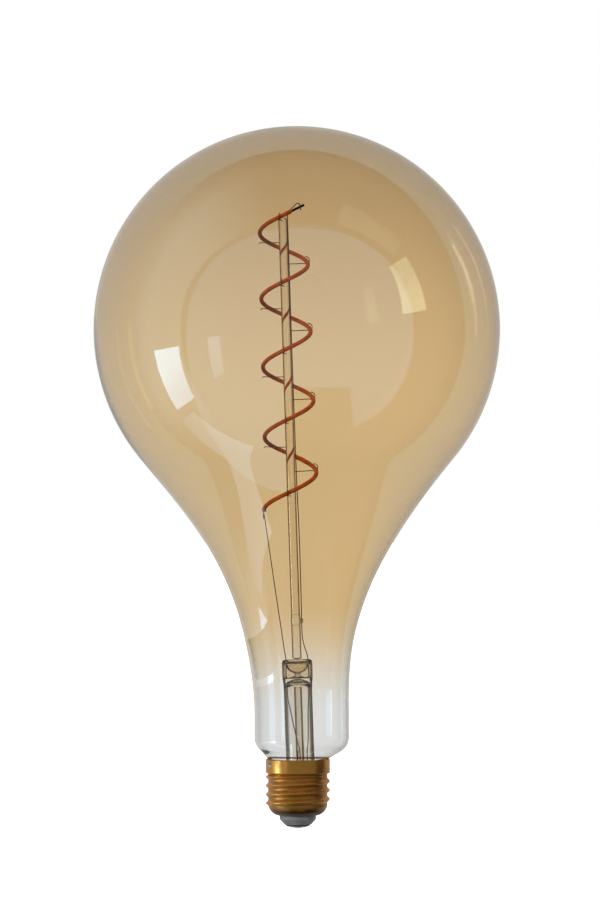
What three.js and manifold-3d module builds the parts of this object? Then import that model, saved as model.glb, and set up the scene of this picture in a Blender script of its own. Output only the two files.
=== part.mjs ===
// A giant filament lamp with an Edison screw cap, in millimetres, +Z up.
// The origin is the tip of the centre contact, on the axis of the screw cap.
// The glass stem and all that it carries share one group, which leans a little in the glass.
import * as THREE from "three";
import { mergeVertices } from "three/addons/utils/BufferGeometryUtils.js";
import Module from "manifold-3d";

const wasm = await Module();
wasm.setup();

// ---- Driving dimensions ----------------------------------------------------------------

// Blown glass: a globe that draws down into a long neck, rounds in and enters the cap.
const GLASS_WALL = 1.0;
const GLOBE = { radius: 82.5, centreZ: 202.4, dropAngle: 0.693 };
const NECK = { radius: 19.24, topZ: 46.8, shoulderZ: 37, globePull: 39.7, neckPull: 47 };
const FOOT = { topRadius: 13.35, topZ: 28.7, radius: 11.0, turnZ: 26.2, endZ: 23.2 };

// The hand-worked glass wanders off the axis of the cap, a step at a time.
const GLASS_DRIFT = [
  { from: 27, to: 32, by: 1.6 },
  { from: 44, to: 80, by: -1.0 },
  { from: 110, to: 150, by: -1.0 },
];

// Edison screw cap, 27 mm size.
const CAP = { bandRadius: 13.1, rimZ: 27.9, bandZ: 22.3, rootRadius: 12.05, sheet: 0.28 };
const THREAD = { pitch: 3.63, depth: 1.05, crestZ: 18.94, startZ: 8.9, endZ: 21.9, rows: 18 };
const CAP_FLOOR = { edgeRadius: 7.75, z: 4.95 };

// Stem: flare tube, press, exhaust tube, and the glass rod in three lengths.
const STEM = { lean: 0.0325, footX: 1.9 };
const FLARE = { rimRadius: 10.1, rimZ: 21.8, radius: 5.75, tubeZ: 30, topZ: 57.2, wall: 0.75 };
const PRESS = { bottomZ: 57.5, topZ: 68.4, radius: 6.2, flatness: 0.5, leadX: 4.5 };
const EXHAUST = { radius: 1.6, bore: 1.0, tipZ: 15, topZ: 57.2 };
const STUB = { radius: 1.87, bottomZ: 68.7, topZ: 82.3 };
const SPLICE = { radius: 1.97, bottomZ: 82.6, topZ: 86.6 };
const ROD = { radius: 1.8, bottomZ: 86.9, topZ: 247.8 };

// Filament: a right-handed helix round the rod. A turn count of zero is its first left-hand
// extreme, and the count grows downwards. The pitch opens a little with every turn.
const HELIX = { topZ: 241.9, pitch: 26.37, opening: 0.425, radius: 9.5, widening: 0.243 };
const HELIX_ENDS = { top: -0.305, bottom: 4.0, flareFrom: 3.5, flare: 0.93 };
const JACKET = { radius: 0.85, slotWide: 1.1, slotThick: 0.74 };
const STRIP = { wide: 0.6, thick: 0.24 };

// Wire hooks that hold the filament, and the wires that feed it.
const HOOK = { count: 13, perTurn: 3, firstTurn: -0.23, wire: 0.125, loop: 1.25, gap: 0.3 };
const WIRE = 0.2;
const SEAL_GAP = 0.3;
const CLIP = { x: 2.75, y: -0.3, z: 84.3, inner: 0.42, outer: 0.6, height: 1.5 };

// Electronics in the cap. Both boards stand upright, one behind the stem, one in front.
const DRIVER_BOARD = { size: [17, 0.8, 13.5], at: [0, 2.6, 13.95] };
const WIRELESS_BOARD = { size: [12.8, 0.6, 12.4], at: [0, -5.2, 13.8] };
const SHIELD = { size: [9.4, 1.8, 8], at: [0, -6.7, 12.5], sheet: 0.3 };
const RADIO_CHIP = { size: [4.4, 0.8, 4.4], at: [0, -6.2, 12.5] };
const DRIVER_CHIP = { size: [3.9, 1.4, 4.9], at: [-6, 1.2, 12.4] };
const RECTIFIER = { size: [4.6, 1.5, 3.8], at: [4, 4.05, 17.9] };
const CAPACITOR = { x: -3.4, y: 6, radius: 2.5, bottomZ: 9.5, topZ: 17.5 };
const INDUCTOR = { x: 3.8, y: 5.9, radius: 2.6, hub: 1.1, bottomZ: 9.5, topZ: 14.5, flange: 0.8 };
const RESISTOR = { x: -2.5, radius: 1.1, lead: 0.25, bottomZ: 8.8, topZ: 16.3 };
const PINS = { count: 3, firstX: 2.4, spacing: 1.8, z: 9, thick: 0.5, fromY: -4.6, toY: 1.9 };

// The lead to the rim leaves through a notch in the cement, at this angle about the axis.
const NOTCH_ANGLE = (208 * Math.PI) / 180;

const FINISH = {
  amberGlass: { color: 0xe0b878, roughness: 0.05, metalness: 0, transparent: true, opacity: 0.4 },
  clearGlass: { color: 0xe4e6e2, roughness: 0.05, metalness: 0, transparent: true, opacity: 0.5 },
  silicone: { color: 0xa5521c, roughness: 0.5, metalness: 0 },
  strip: { color: 0xc9b27c, roughness: 0.5, metalness: 0.2 },
  nickel: { color: 0x77706a, roughness: 0.35, metalness: 1 },
  terminal: { color: 0x3d372f, roughness: 0.4, metalness: 1 },
  brass: { color: 0xb07a2c, roughness: 0.28, metalness: 1 },
  insulator: { color: 0xb4b4b2, roughness: 0.45, metalness: 0 },
  solder: { color: 0x9a9a98, roughness: 0.35, metalness: 1 },
  cement: { color: 0xcfc6b4, roughness: 0.9, metalness: 0 },
  board: { color: 0x1d5a38, roughness: 0.5, metalness: 0 },
  blackPlastic: { color: 0x1b1b1d, roughness: 0.5, metalness: 0 },
  sleeve: { color: 0x20242c, roughness: 0.35, metalness: 0 },
  copper: { color: 0xb06a3a, roughness: 0.35, metalness: 1 },
  ferrite: { color: 0x39393b, roughness: 0.7, metalness: 0 },
  resistorBody: { color: 0x7f9a86, roughness: 0.5, metalness: 0 },
};

// ---- Helpers -----------------------------------------------------------------------------

const point = (r, z) => new THREE.Vector2(r, z);
const { smoothstep } = THREE.MathUtils;

function piece(name, geometry, finish) {
  const mesh = new THREE.Mesh(geometry, new THREE.MeshStandardMaterial(FINISH[finish]));
  mesh.name = name;
  return mesh;
}

// A body turned about Z. The profile runs up its outside and down its inside, and it either
// starts and ends on the axis or is closed back to its first point.
function turned(profile, segments = 24) {
  const points = profile.map((p) => (Array.isArray(p) ? point(...p) : p));
  if (points[0].x > 0) points.push(points[0].clone());
  return new THREE.LatheGeometry(points, segments).rotateX(Math.PI / 2);
}

// A wall of even thickness inside an outline that runs upwards.
function walled(outline, wall) {
  const inside = outline.map((p, i) => {
    const before = outline[i - 1] ?? point(p.x, p.y - 1);
    const mirrored = point(-before.x, before.y);
    const after = outline[i + 1] ?? (p.x === 0 ? mirrored : point(p.x, p.y + 1));
    const along = after.clone().sub(before).normalize();
    return point(p.x - along.y * wall, p.y + along.x * wall);
  });
  return [...inside.reverse(), ...outline];
}

function moveVertices(geometry, move) {
  const positions = geometry.attributes.position;
  const vertex = new THREE.Vector3();
  for (let i = 0; i < positions.count; i++) {
    vertex.fromBufferAttribute(positions, i);
    move(vertex);
    positions.setXYZ(i, vertex.x, vertex.y, vertex.z);
  }
  return geometry;
}

function block([x, y, z], [cx, cy, cz]) {
  return new THREE.BoxGeometry(x, y, z).translate(cx, cy, cz);
}

function drill(radius, from, to) {
  const length = from.distanceTo(to);
  const up = new THREE.Vector3(0, 1, 0);
  const turn = new THREE.Quaternion().setFromUnitVectors(up, to.clone().sub(from).normalize());
  const middle = from.clone().add(to).multiplyScalar(0.5);
  return new THREE.CylinderGeometry(radius, radius, length, 12)
    .applyQuaternion(turn)
    .translate(middle.x, middle.y, middle.z);
}

function roundSection(radius, sides) {
  const corners = Array.from({ length: sides }, (_, i) => {
    const angle = (2 * Math.PI * i) / sides;
    return point(radius * Math.cos(angle), radius * Math.sin(angle));
  });
  return new THREE.Shape(corners);
}

function rectangle(wide, thick) {
  const [x, y] = [wide / 2, thick / 2];
  return [point(-x, -y), point(x, -y), point(x, y), point(-x, y)];
}

function swept(section, path, steps) {
  return new THREE.ExtrudeGeometry(section, { steps, extrudePath: path, bevelEnabled: false });
}

// A round wire through a list of [x, y, z] points.
function wire(points, radius = WIRE, steps = 24, sides = 6) {
  const route = points.map((p) => new THREE.Vector3(...p));
  const path = new THREE.CatmullRomCurve3(route, false, "centripetal");
  return swept(roundSection(radius, sides), path, steps);
}

function toSolid(geometry) {
  const bare = geometry.clone();
  bare.deleteAttribute("normal");
  bare.deleteAttribute("uv");
  const merged = mergeVertices(bare, 1e-4);
  const vertProperties = merged.attributes.position.array;
  const triVerts = new Uint32Array(merged.index.array);
  return new wasm.Manifold(new wasm.Mesh({ numProp: 3, vertProperties, triVerts }));
}

function fromSolid(solid) {
  const { vertProperties, triVerts } = solid.getMesh();
  const geometry = new THREE.BufferGeometry();
  geometry.setAttribute("position", new THREE.BufferAttribute(vertProperties, 3));
  geometry.setIndex(new THREE.BufferAttribute(triVerts, 1));
  geometry.computeVertexNormals();
  return geometry;
}

function cut(body, ...tools) {
  const left = tools.reduce((solid, tool) => solid.subtract(toSolid(tool)), toSolid(body));
  return fromSolid(left);
}

// ---- Glass envelope ----------------------------------------------------------------------

function envelopeOutline() {
  const { radius, centreZ, dropAngle } = GLOBE;
  const tangent = point(radius * Math.cos(dropAngle), centreZ - radius * Math.sin(dropAngle));
  const along = point(Math.sin(dropAngle), Math.cos(dropAngle)).multiplyScalar(NECK.globePull);
  const mouth = point(FOOT.topRadius, FOOT.topZ);
  const foot = new THREE.QuadraticBezierCurve(
    point(FOOT.radius, FOOT.turnZ),
    point(FOOT.radius, FOOT.turnZ + 1.2),
    mouth,
  );
  const shoulder = new THREE.CubicBezierCurve(
    mouth,
    point(16.2, 31.2),
    point(NECK.radius, 32.5),
    point(NECK.radius, NECK.shoulderZ),
  );
  const neck = new THREE.CubicBezierCurve(
    point(NECK.radius, NECK.topZ),
    point(NECK.radius, NECK.topZ + NECK.neckPull),
    tangent.clone().sub(along),
    tangent,
  );
  const onGlobe = (angle) => point(radius * Math.cos(angle), centreZ + radius * Math.sin(angle));
  const lower = [0.75, 0.5, 0.25, 0].map((share) => onGlobe(-dropAngle * share));
  const upper = Array.from({ length: 7 }, (_, i) => onGlobe((Math.PI * (i + 1)) / 16));
  return [
    point(FOOT.radius, FOOT.endZ),
    ...foot.getPoints(2),
    ...shoulder.getPoints(3).slice(1),
    ...neck.getPoints(7),
    ...lower,
    ...upper,
    point(0, centreZ + radius),
  ];
}

function glassDrift(z) {
  return GLASS_DRIFT.reduce((sum, { from, to, by }) => sum + by * smoothstep(z, from, to), 0);
}

function envelope() {
  const shell = turned(walled(envelopeOutline(), GLASS_WALL), 40);
  return moveVertices(shell, (v) => {
    v.x += glassDrift(v.z);
  });
}

// ---- Screw cap ---------------------------------------------------------------------------

function capOutline() {
  const { edgeRadius, z } = CAP_FLOOR;
  const { rootRadius, bandRadius, bandZ, rimZ } = CAP;
  const dish = new THREE.QuadraticBezierCurve(
    point(edgeRadius, z),
    point(10.9, z + 0.5),
    point(rootRadius, THREAD.startZ),
  );
  const rows = Array.from({ length: THREAD.rows }, (_, i) => {
    const height = THREE.MathUtils.lerp(THREAD.startZ, THREAD.endZ, (i + 1) / THREAD.rows);
    return point(rootRadius, height);
  });
  return [...dish.getPoints(4), ...rows, point(bandRadius, bandZ), point(bandRadius, rimZ)];
}

// How far the rolled thread stands out of its root at an angle and a height.
function threadHeight(angle, z) {
  const turns = (z - THREAD.crestZ) / THREAD.pitch - angle / (2 * Math.PI);
  const wave = (0.5 + 0.5 * Math.cos(2 * Math.PI * turns)) ** 1.5;
  const { startZ, endZ } = THREAD;
  const runIn = smoothstep(z, startZ - 0.3, startZ + 1);
  const runOut = 1 - smoothstep(z, endZ - 1, endZ);
  return THREAD.depth * wave * runIn * runOut;
}

function capShell() {
  const shell = turned(walled(capOutline(), CAP.sheet), 30);
  return moveVertices(shell, (v) => {
    const radius = Math.hypot(v.x, v.y);
    const grown = radius + threadHeight(Math.atan2(v.y, v.x), v.z);
    v.x *= grown / radius;
    v.y *= grown / radius;
  });
}

function capInsulator() {
  const cone = [[1.9, 1.4], [5.3, 1.4], [7.35, 3.8], [7.35, 5.75]];
  const flange = [[8.2, 5.85], [8.2, 6.9], [7.4, 6.9]];
  const dish = [[3.2, 4.2], [1.9, 4.2]];
  return turned([...cone, ...flange, ...dish]);
}

function centreContact() {
  const well = [[1.1, 0.9], [2.2, 0.9], [2.2, 0.42]];
  const dome = [[3.2, 0.5], [4.3, 0.7], [5.0, 0.95], [4.9, 1.1]];
  const rivet = [[1.6, 1.1], [1.6, 4.9], [1.1, 4.9]];
  return turned([...well, ...dome, ...rivet]);
}

function centreSolder() {
  return turned([[0, 0], [1.3, 0], [1.8, 0.2], [1.9, 0.4], [1.5, 0.6], [0, 0.6]]);
}

function basingCement() {
  const ring = turned([[11.35, 23], [12.5, 23], [12.5, 26.3], [12.0, 26.6], [11.35, 26.6]]);
  const ringRadius = 11.9;
  const [x, y] = [ringRadius * Math.cos(NOTCH_ANGLE), ringRadius * Math.sin(NOTCH_ANGLE)];
  const notch = block([3, 1.4, 6], [0, 0, 0]).rotateZ(NOTCH_ANGLE).translate(x, y, 24.8);
  return cut(ring, notch);
}

// A spot of solder on the outside of the band, just under its rim.
function sideSolder() {
  const [x, y] = [Math.cos(NOTCH_ANGLE), Math.sin(NOTCH_ANGLE)].map((c) => c * CAP.bandRadius);
  const drop = new THREE.SphereGeometry(1, 14, 10)
    .scale(0.75, 1.05, 1.75)
    .rotateZ(NOTCH_ANGLE)
    .translate(x, y, 26.4);
  const band = CAP.bandRadius + 0.15;
  const inside = new THREE.CylinderGeometry(band, band, 30, 60)
    .rotateX(Math.PI / 2)
    .translate(0, 0, 20);
  return cut(drop, inside);
}

// ---- Stem --------------------------------------------------------------------------------

function stemFlare() {
  const bell = new THREE.CubicBezierCurve(
    point(FLARE.rimRadius, FLARE.rimZ),
    point(6.9, 22.4),
    point(FLARE.radius, 25),
    point(FLARE.radius, FLARE.tubeZ),
  );
  return turned(walled([...bell.getPoints(5), point(FLARE.radius, FLARE.topZ)], FLARE.wall));
}

// The press is round where it leaves the flare and pinched flat above it. It is bored for the
// two seal wires, and for the exhaust channel that opens on its flat face.
function stemPress() {
  const { bottomZ, topZ, radius, flatness, leadX } = PRESS;
  const side = [[5.6, bottomZ], [6.0, 59.5], [radius, 62], [radius, 66.2]];
  const body = turned([[0, bottomZ], ...side, [5.6, 67.7], [4.9, topZ], [0, topZ]]);
  moveVertices(body, (v) => {
    v.y *= THREE.MathUtils.lerp(1, flatness, smoothstep(v.z, bottomZ, 63));
  });
  const at = (x, y, z) => new THREE.Vector3(x, y, z);
  const bores = [-leadX, leadX].map((x) => drill(WIRE + SEAL_GAP, at(x, 0, 50), at(x, 0, 75)));
  const channel = drill(EXHAUST.bore, at(0, 0, 50), at(0, 0, 63.5));
  const vent = drill(EXHAUST.bore * 0.9, at(0, 0, 63), at(0, 9, 63));
  return cut(body, ...bores, channel, vent);
}

function exhaustTube() {
  const { radius, bore, tipZ, topZ } = EXHAUST;
  const tip = [[0, tipZ], [radius * 0.6, tipZ + 0.3], [radius, tipZ + 1.4]];
  return turned([...tip, [radius, topZ], [bore, topZ], [bore, tipZ + 2], [0, tipZ + 1.2]], 16);
}

function rodStub() {
  const { radius, bottomZ, topZ } = STUB;
  return turned([[0, bottomZ], [radius, bottomZ], [radius, topZ], [0, topZ]], 16);
}

function rodSplice() {
  const { radius, bottomZ, topZ } = SPLICE;
  const bulge = [[radius - 0.2, bottomZ], [radius, bottomZ + 1], [radius, topZ - 0.8]];
  return turned([[0, bottomZ], ...bulge, [radius - 0.2, topZ], [0, topZ]], 16);
}

function supportRod() {
  const { radius, bottomZ, topZ } = ROD;
  const end = [[radius, topZ - 0.8], [radius * 0.7, topZ - 0.2], [0, topZ]];
  return turned([[0, bottomZ], [radius, bottomZ], ...end], 16);
}

// ---- Filament ----------------------------------------------------------------------------

const helixAngle = (turn) => Math.PI * (1 - 2 * turn);

function helixRadius(turn) {
  const flare = HELIX_ENDS.flare * smoothstep(turn, HELIX_ENDS.flareFrom, HELIX_ENDS.bottom);
  return HELIX.radius + HELIX.widening * turn + flare;
}

const helixZ = (turn) => HELIX.topZ - HELIX.pitch * turn - HELIX.opening * turn * turn;

// The filament's centre line. Its frames keep the strip's flat side towards the rod.
class FilamentCurve extends THREE.Curve {
  getPoint(t, target = new THREE.Vector3()) {
    const turn = THREE.MathUtils.lerp(HELIX_ENDS.top, HELIX_ENDS.bottom, t);
    const [angle, radius] = [helixAngle(turn), helixRadius(turn)];
    return target.set(radius * Math.cos(angle), radius * Math.sin(angle), helixZ(turn));
  }

  computeFrenetFrames(segments) {
    const frames = { tangents: [], normals: [], binormals: [] };
    for (let i = 0; i <= segments; i++) {
      const tangent = this.getTangentAt(i / segments);
      const outward = this.getPointAt(i / segments).setZ(0).normalize();
      const normal = new THREE.Vector3().crossVectors(outward, tangent).normalize();
      frames.tangents.push(tangent);
      frames.normals.push(normal);
      frames.binormals.push(new THREE.Vector3().crossVectors(tangent, normal));
    }
    return frames;
  }
}

const filamentCurve = new FilamentCurve();
const FILAMENT_STEPS = 88;

function filamentJacket() {
  const section = roundSection(JACKET.radius, 8);
  section.holes.push(new THREE.Path(rectangle(JACKET.slotWide, JACKET.slotThick).reverse()));
  return swept(section, filamentCurve, FILAMENT_STEPS);
}

function filamentStrip() {
  const section = new THREE.Shape(rectangle(STRIP.wide, STRIP.thick));
  return swept(section, filamentCurve, FILAMENT_STEPS);
}

// The metal tabs clipped on the ends of the strip.
function terminalTop() {
  const end = filamentCurve.getPoint(0);
  const outward = filamentCurve.getTangent(0).negate();
  const from = end.clone().addScaledVector(outward, 0.3);
  const to = end.clone().addScaledVector(outward, 6.4);
  return wire([from.toArray(), to.toArray()], 0.36, 2, 6);
}

function terminalBottom() {
  const { x, y, z } = filamentCurve.getPoint(1);
  const bend = [[x - 0.1, y + 0.45, z - 0.15], [x - 0.2, y + 0.95, z - 1]];
  return wire([...bend, [x - 0.35, y + 1, z - 3.4]], 0.3, 8, 6);
}

// A hook runs out from the rod under the filament and curls up round the outside of it.
function hook(index) {
  const turn = HOOK.firstTurn + index / HOOK.perTurn;
  const [angle, radius, z] = [helixAngle(turn), helixRadius(turn), helixZ(turn)];
  const at = (out, rise) => [out * Math.cos(angle), out * Math.sin(angle), z + rise];
  const curl = Array.from({ length: 8 }, (_, i) => {
    const sweep = -Math.PI / 2 + (i * Math.PI) / 6;
    return at(radius + HOOK.loop * Math.cos(sweep), HOOK.loop * Math.sin(sweep));
  });
  const shank = [at(ROD.radius + HOOK.gap, -HOOK.loop), at(radius - 1, -HOOK.loop)];
  return wire([...shank, ...curl], HOOK.wire, 14, 4);
}

// ---- Wires of the stem -------------------------------------------------------------------

const RIDE_X = ROD.radius + WIRE + 0.3;

// From the press, in to the rod, up its side to the top, and over to the upper terminal.
function leadWireLong() {
  const press = [[PRESS.leadX, 0, 68.9], [3.9, -0.05, 71.3], [3, -0.2, 74.5], [2.65, -0.3, 79]];
  const clip = [[CLIP.x, CLIP.y, CLIP.z - 1], [CLIP.x, CLIP.y, CLIP.z + 1]];
  const side = [[2.6, -0.3, 95], [2.6, -0.3, 120], [RIDE_X, -0.3, 145], [RIDE_X, -0.4, 243]];
  const over = [[2.2, -1.7, 247.6], [2.2, -3.1, 249.3], [3.6, -5.2, 251.3], [6.3, -7.1, 253.4]];
  const end = [[7.1, -8.1, 252.5], [7.5, -8.7, 250.9]];
  return wire([...press, ...clip, ...side, ...over, ...end], WIRE, 80, 5);
}

function leadWireShort() {
  const kink = [-6.54, 0.1, 85.7];
  const route = [[-PRESS.leadX, 0, 68.9], [-5.2, 0.05, 75], kink, [-8.2, 0.15, 98]];
  return wire([...route, [-11.35, 0.2, 128]], WIRE, 16, 5);
}

function wireClip() {
  const { x, y, z, inner, outer, height } = CLIP;
  const half = height / 2;
  const outside = [[outer - 0.1, z - half], [outer, z], [outer - 0.1, z + half]];
  return turned([[inner, z - half], ...outside, [inner, z + half]], 12).translate(x, y, 0);
}

const sealWire = (x) => wire([[x, 0, 57], [x, 0, 68.6]], WIRE, 1, 6);

function leadOutLeft() {
  const tube = [[-4.5, 0, 56.7], [-4, -0.6, 52], [-2.4, -1.8, 43], [-1, -2.3, 35.6]];
  return wire([...tube, [0, -2.3, 29.1], [-1.4, -1.9, 26.5], [-3.7, 0.4, 23.6], [-5.7, 2.5, 21.2]]);
}

function leadOutRight() {
  const tube = [[4.5, 0, 56.7], [4.3, -0.1, 53], [3.83, -0.2, 47.8], [3.44, -0.2, 35.6]];
  return wire([...tube, [2.83, 0.2, 29.1], [3.2, 1.3, 25], [3.6, 2.5, 21.2]]);
}

// ---- Electronics in the cap --------------------------------------------------------------

function neutralWire() {
  const rise = (r, z) => [r * Math.cos(NOTCH_ANGLE), r * Math.sin(NOTCH_ANGLE), z];
  const across = [[-7.6, 1.7, 19.3], [-9.3, -0.6, 19.6], [-9.8, -3.8, 20.8]];
  return wire([...across, rise(11.9, 23), rise(12.05, 26), rise(12.15, 27.4)], WIRE, 16);
}

const liveWire = () => wire([[0, 0, 1.2], [0, 0, 5], [-0.6, 0, 6.6], [-2.5, 0, 8.4]], WIRE, 10);

function fusibleResistor() {
  const { x, radius, lead, bottomZ, topZ } = RESISTOR;
  const bottom = [[0, bottomZ], [lead, bottomZ], [lead, bottomZ + 1.2], [radius - 0.2, bottomZ + 1.4]];
  const body = [[radius, bottomZ + 2], [radius, topZ - 2.1], [radius - 0.2, topZ - 1.5]];
  return turned([...bottom, ...body, [lead, topZ - 1.3], [lead, topZ], [0, topZ]], 16).translate(x, 0, 0);
}

// An electrolytic can with the rolled groove above its bottom edge.
function smoothingCapacitor() {
  const { x, y, radius, bottomZ, topZ } = CAPACITOR;
  const edge = [[radius - 0.2, bottomZ], [radius, bottomZ + 0.2], [radius, bottomZ + 0.8]];
  const groove = [[radius - 0.1, bottomZ + 1], [radius, bottomZ + 1.2]];
  const top = [[radius, topZ - 0.3], [radius - 0.2, topZ], [0, topZ]];
  return turned([[0, bottomZ], ...edge, ...groove, ...top], 20).translate(x, y, 0);
}

function inductorCore() {
  const { x, y, radius, hub, bottomZ, topZ, flange } = INDUCTOR;
  const lower = [[0, bottomZ], [radius, bottomZ], [radius, bottomZ + flange], [hub, bottomZ + flange]];
  const upper = [[hub, topZ - flange], [radius, topZ - flange], [radius, topZ], [0, topZ]];
  return turned([...lower, ...upper], 20).translate(x, y, 0);
}

function inductorWinding() {
  const { x, y, radius, hub, bottomZ, topZ, flange } = INDUCTOR;
  const [inner, outer] = [hub + 0.3, radius - 0.4];
  const [low, high] = [bottomZ + flange + 0.3, topZ - flange - 0.3];
  return turned([[inner, low], [outer, low], [outer, high], [inner, high]], 20).translate(x, y, 0);
}

// A stamped can, open on the side that faces the board.
function wirelessShield() {
  const { size, at, sheet } = SHIELD;
  const hollow = [size[0] - 2 * sheet, size[1], size[2] - 2 * sheet];
  return cut(block(size, at), block(hollow, [at[0], at[1] + sheet, at[2]]));
}

function boardPin(index) {
  const { firstX, spacing, z, thick, fromY, toY } = PINS;
  const middle = (fromY + toY) / 2;
  return block([thick, toY - fromY, thick], [firstX + index * spacing, middle, z]);
}

// ---- Assembly ----------------------------------------------------------------------------

const stem = new THREE.Group();
stem.position.x = STEM.footX;
stem.rotation.y = -STEM.lean;
stem.add(
  piece("stem_flare", stemFlare(), "clearGlass"),
  piece("stem_press", stemPress(), "clearGlass"),
  piece("exhaust_tube", exhaustTube(), "clearGlass"),
  piece("rod_stub", rodStub(), "clearGlass"),
  piece("rod_splice", rodSplice(), "clearGlass"),
  piece("support_rod", supportRod(), "clearGlass"),
  piece("filament_jacket", filamentJacket(), "silicone"),
  piece("filament_strip", filamentStrip(), "strip"),
  piece("filament_terminal_top", terminalTop(), "terminal"),
  piece("filament_terminal_bottom", terminalBottom(), "terminal"),
  piece("lead_wire_long", leadWireLong(), "nickel"),
  piece("lead_wire_short", leadWireShort(), "nickel"),
  piece("wire_clip", wireClip(), "clearGlass"),
  piece("seal_wire_left", sealWire(-PRESS.leadX), "copper"),
  piece("seal_wire_right", sealWire(PRESS.leadX), "copper"),
  piece("lead_out_left", leadOutLeft(), "nickel"),
  piece("lead_out_right", leadOutRight(), "nickel"),
);
for (let i = 0; i < HOOK.count; i++) {
  stem.add(piece(`hook_${String(i + 1).padStart(2, "0")}`, hook(i), "nickel"));
}

const lamp = new THREE.Group();
lamp.add(
  stem,
  piece("envelope", envelope(), "amberGlass"),
  piece("cap_shell", capShell(), "brass"),
  piece("cap_insulator", capInsulator(), "insulator"),
  piece("centre_contact", centreContact(), "brass"),
  piece("centre_solder", centreSolder(), "solder"),
  piece("basing_cement", basingCement(), "cement"),
  piece("side_solder", sideSolder(), "solder"),
  piece("neutral_wire", neutralWire(), "nickel"),
  piece("live_wire", liveWire(), "nickel"),
  piece("fusible_resistor", fusibleResistor(), "resistorBody"),
  piece("driver_board", block(DRIVER_BOARD.size, DRIVER_BOARD.at), "board"),
  piece("driver_chip", block(DRIVER_CHIP.size, DRIVER_CHIP.at), "blackPlastic"),
  piece("bridge_rectifier", block(RECTIFIER.size, RECTIFIER.at), "blackPlastic"),
  piece("smoothing_capacitor", smoothingCapacitor(), "sleeve"),
  piece("inductor_core", inductorCore(), "ferrite"),
  piece("inductor_winding", inductorWinding(), "copper"),
  piece("wireless_board", block(WIRELESS_BOARD.size, WIRELESS_BOARD.at), "board"),
  piece("wireless_shield", wirelessShield(), "solder"),
  piece("radio_chip", block(RADIO_CHIP.size, RADIO_CHIP.at), "blackPlastic"),
);
for (let i = 0; i < PINS.count; i++) {
  lamp.add(piece(`board_pin_${i + 1}`, boardPin(i), "brass"));
}

export default lamp;
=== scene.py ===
# %% [markdown]
# # A large filament lamp
# This lesson builds the looks of a large globe lamp: blown amber glass on a long clear neck, a
# glass stem that carries one helical LED filament, and a rolled brass screw cap.
# The imported model comes first. It fixes every place and size, and the finer meshes made here only stand in
# for its plain ones.

# %% Load the frame
import math

import bpy
from mathutils import Matrix, Vector


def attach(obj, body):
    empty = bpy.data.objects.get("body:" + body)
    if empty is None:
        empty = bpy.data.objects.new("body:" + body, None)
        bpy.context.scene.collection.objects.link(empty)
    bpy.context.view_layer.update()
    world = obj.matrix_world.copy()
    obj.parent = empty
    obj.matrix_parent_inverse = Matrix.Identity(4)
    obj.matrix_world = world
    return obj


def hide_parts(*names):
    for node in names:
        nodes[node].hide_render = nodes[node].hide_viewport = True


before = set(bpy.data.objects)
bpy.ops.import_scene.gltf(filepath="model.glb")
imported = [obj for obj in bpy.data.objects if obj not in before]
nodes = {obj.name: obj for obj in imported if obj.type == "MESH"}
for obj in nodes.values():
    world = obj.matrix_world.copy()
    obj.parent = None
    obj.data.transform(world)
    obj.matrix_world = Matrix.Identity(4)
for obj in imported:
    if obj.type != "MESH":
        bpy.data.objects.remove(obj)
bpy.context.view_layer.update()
scene = bpy.context.scene

# %% [markdown]
# ## The camera
# A lamp for a catalogue is shown level and from far away, so that its sides stay parallel. A long
# lens does that, at a height just below the middle of the globe. The lens follows from the distance
# and from how tall a slice of the studio the frame should hold: a little more than the lamp.

# %% Set up the camera
VIEW_DISTANCE = 2.6
VIEW_HEIGHT = 0.1534
FRAME_HEIGHT = 0.3656
SENSOR = 36.0

camera_data = bpy.data.cameras.new("camera")
camera_data.sensor_width = SENSOR
camera_data.lens = SENSOR * VIEW_DISTANCE / FRAME_HEIGHT
camera = bpy.data.objects.new("camera", camera_data)
camera.location = (0.0009, -VIEW_DISTANCE, VIEW_HEIGHT)
camera.rotation_euler = (math.pi / 2, 0, 0)
scene.collection.objects.link(camera)
scene.camera = camera
print(f"lens {camera_data.lens:.0f} mm at {VIEW_DISTANCE} m")

# %% [markdown]
# ## Outlines and bodies
# Nearly everything in a lamp is turned or drawn: glass is blown in a rotating mould, the cap is
# spun and rolled, and wires are bent. So two kinds of mesh are enough. A turned body is an outline
# of radius and height carried round the Z axis, and a drawn one is a round section carried along a
# route. Both could be made with modifiers, but written as points they stay exact, closed and easy
# to change. Outlines are in millimetres, and `add_piece` brings them to metres.

# %% Points along an outline
ON_AXIS = 1e-6


def bezier(*control, count=12):
    """Points on a Bezier curve of any degree, from its control points."""
    points = []
    for step in range(count + 1):
        share = step / count
        level = [Vector(p) for p in control]
        while len(level) > 1:
            level = [a.lerp(b, share) for a, b in zip(level, level[1:])]
        points.append(level[0])
    return points


def arc(centre, radius, start, end, count=24):
    """Points on a circle in the radius and height plane, between two angles."""
    angles = [start + (end - start) * step / count for step in range(count + 1)]
    return [Vector((centre[0] + radius * math.cos(a), centre[1] + radius * math.sin(a))) for a in angles]


def rounded(outline, radius, steps=4):
    """An outline whose corners are eased, each over a length of radius at most."""
    outline = [Vector(p) for p in outline]
    eased = [outline[0]]
    for before, corner, after in zip(outline, outline[1:], outline[2:]):
        reach_in = min(radius, (before - corner).length / 2)
        reach_out = min(radius, (after - corner).length / 2)
        start = corner + (before - corner).normalized() * reach_in
        end = corner + (after - corner).normalized() * reach_out
        eased += bezier(start, corner, end, count=steps)
    return eased + [outline[-1]]


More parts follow.
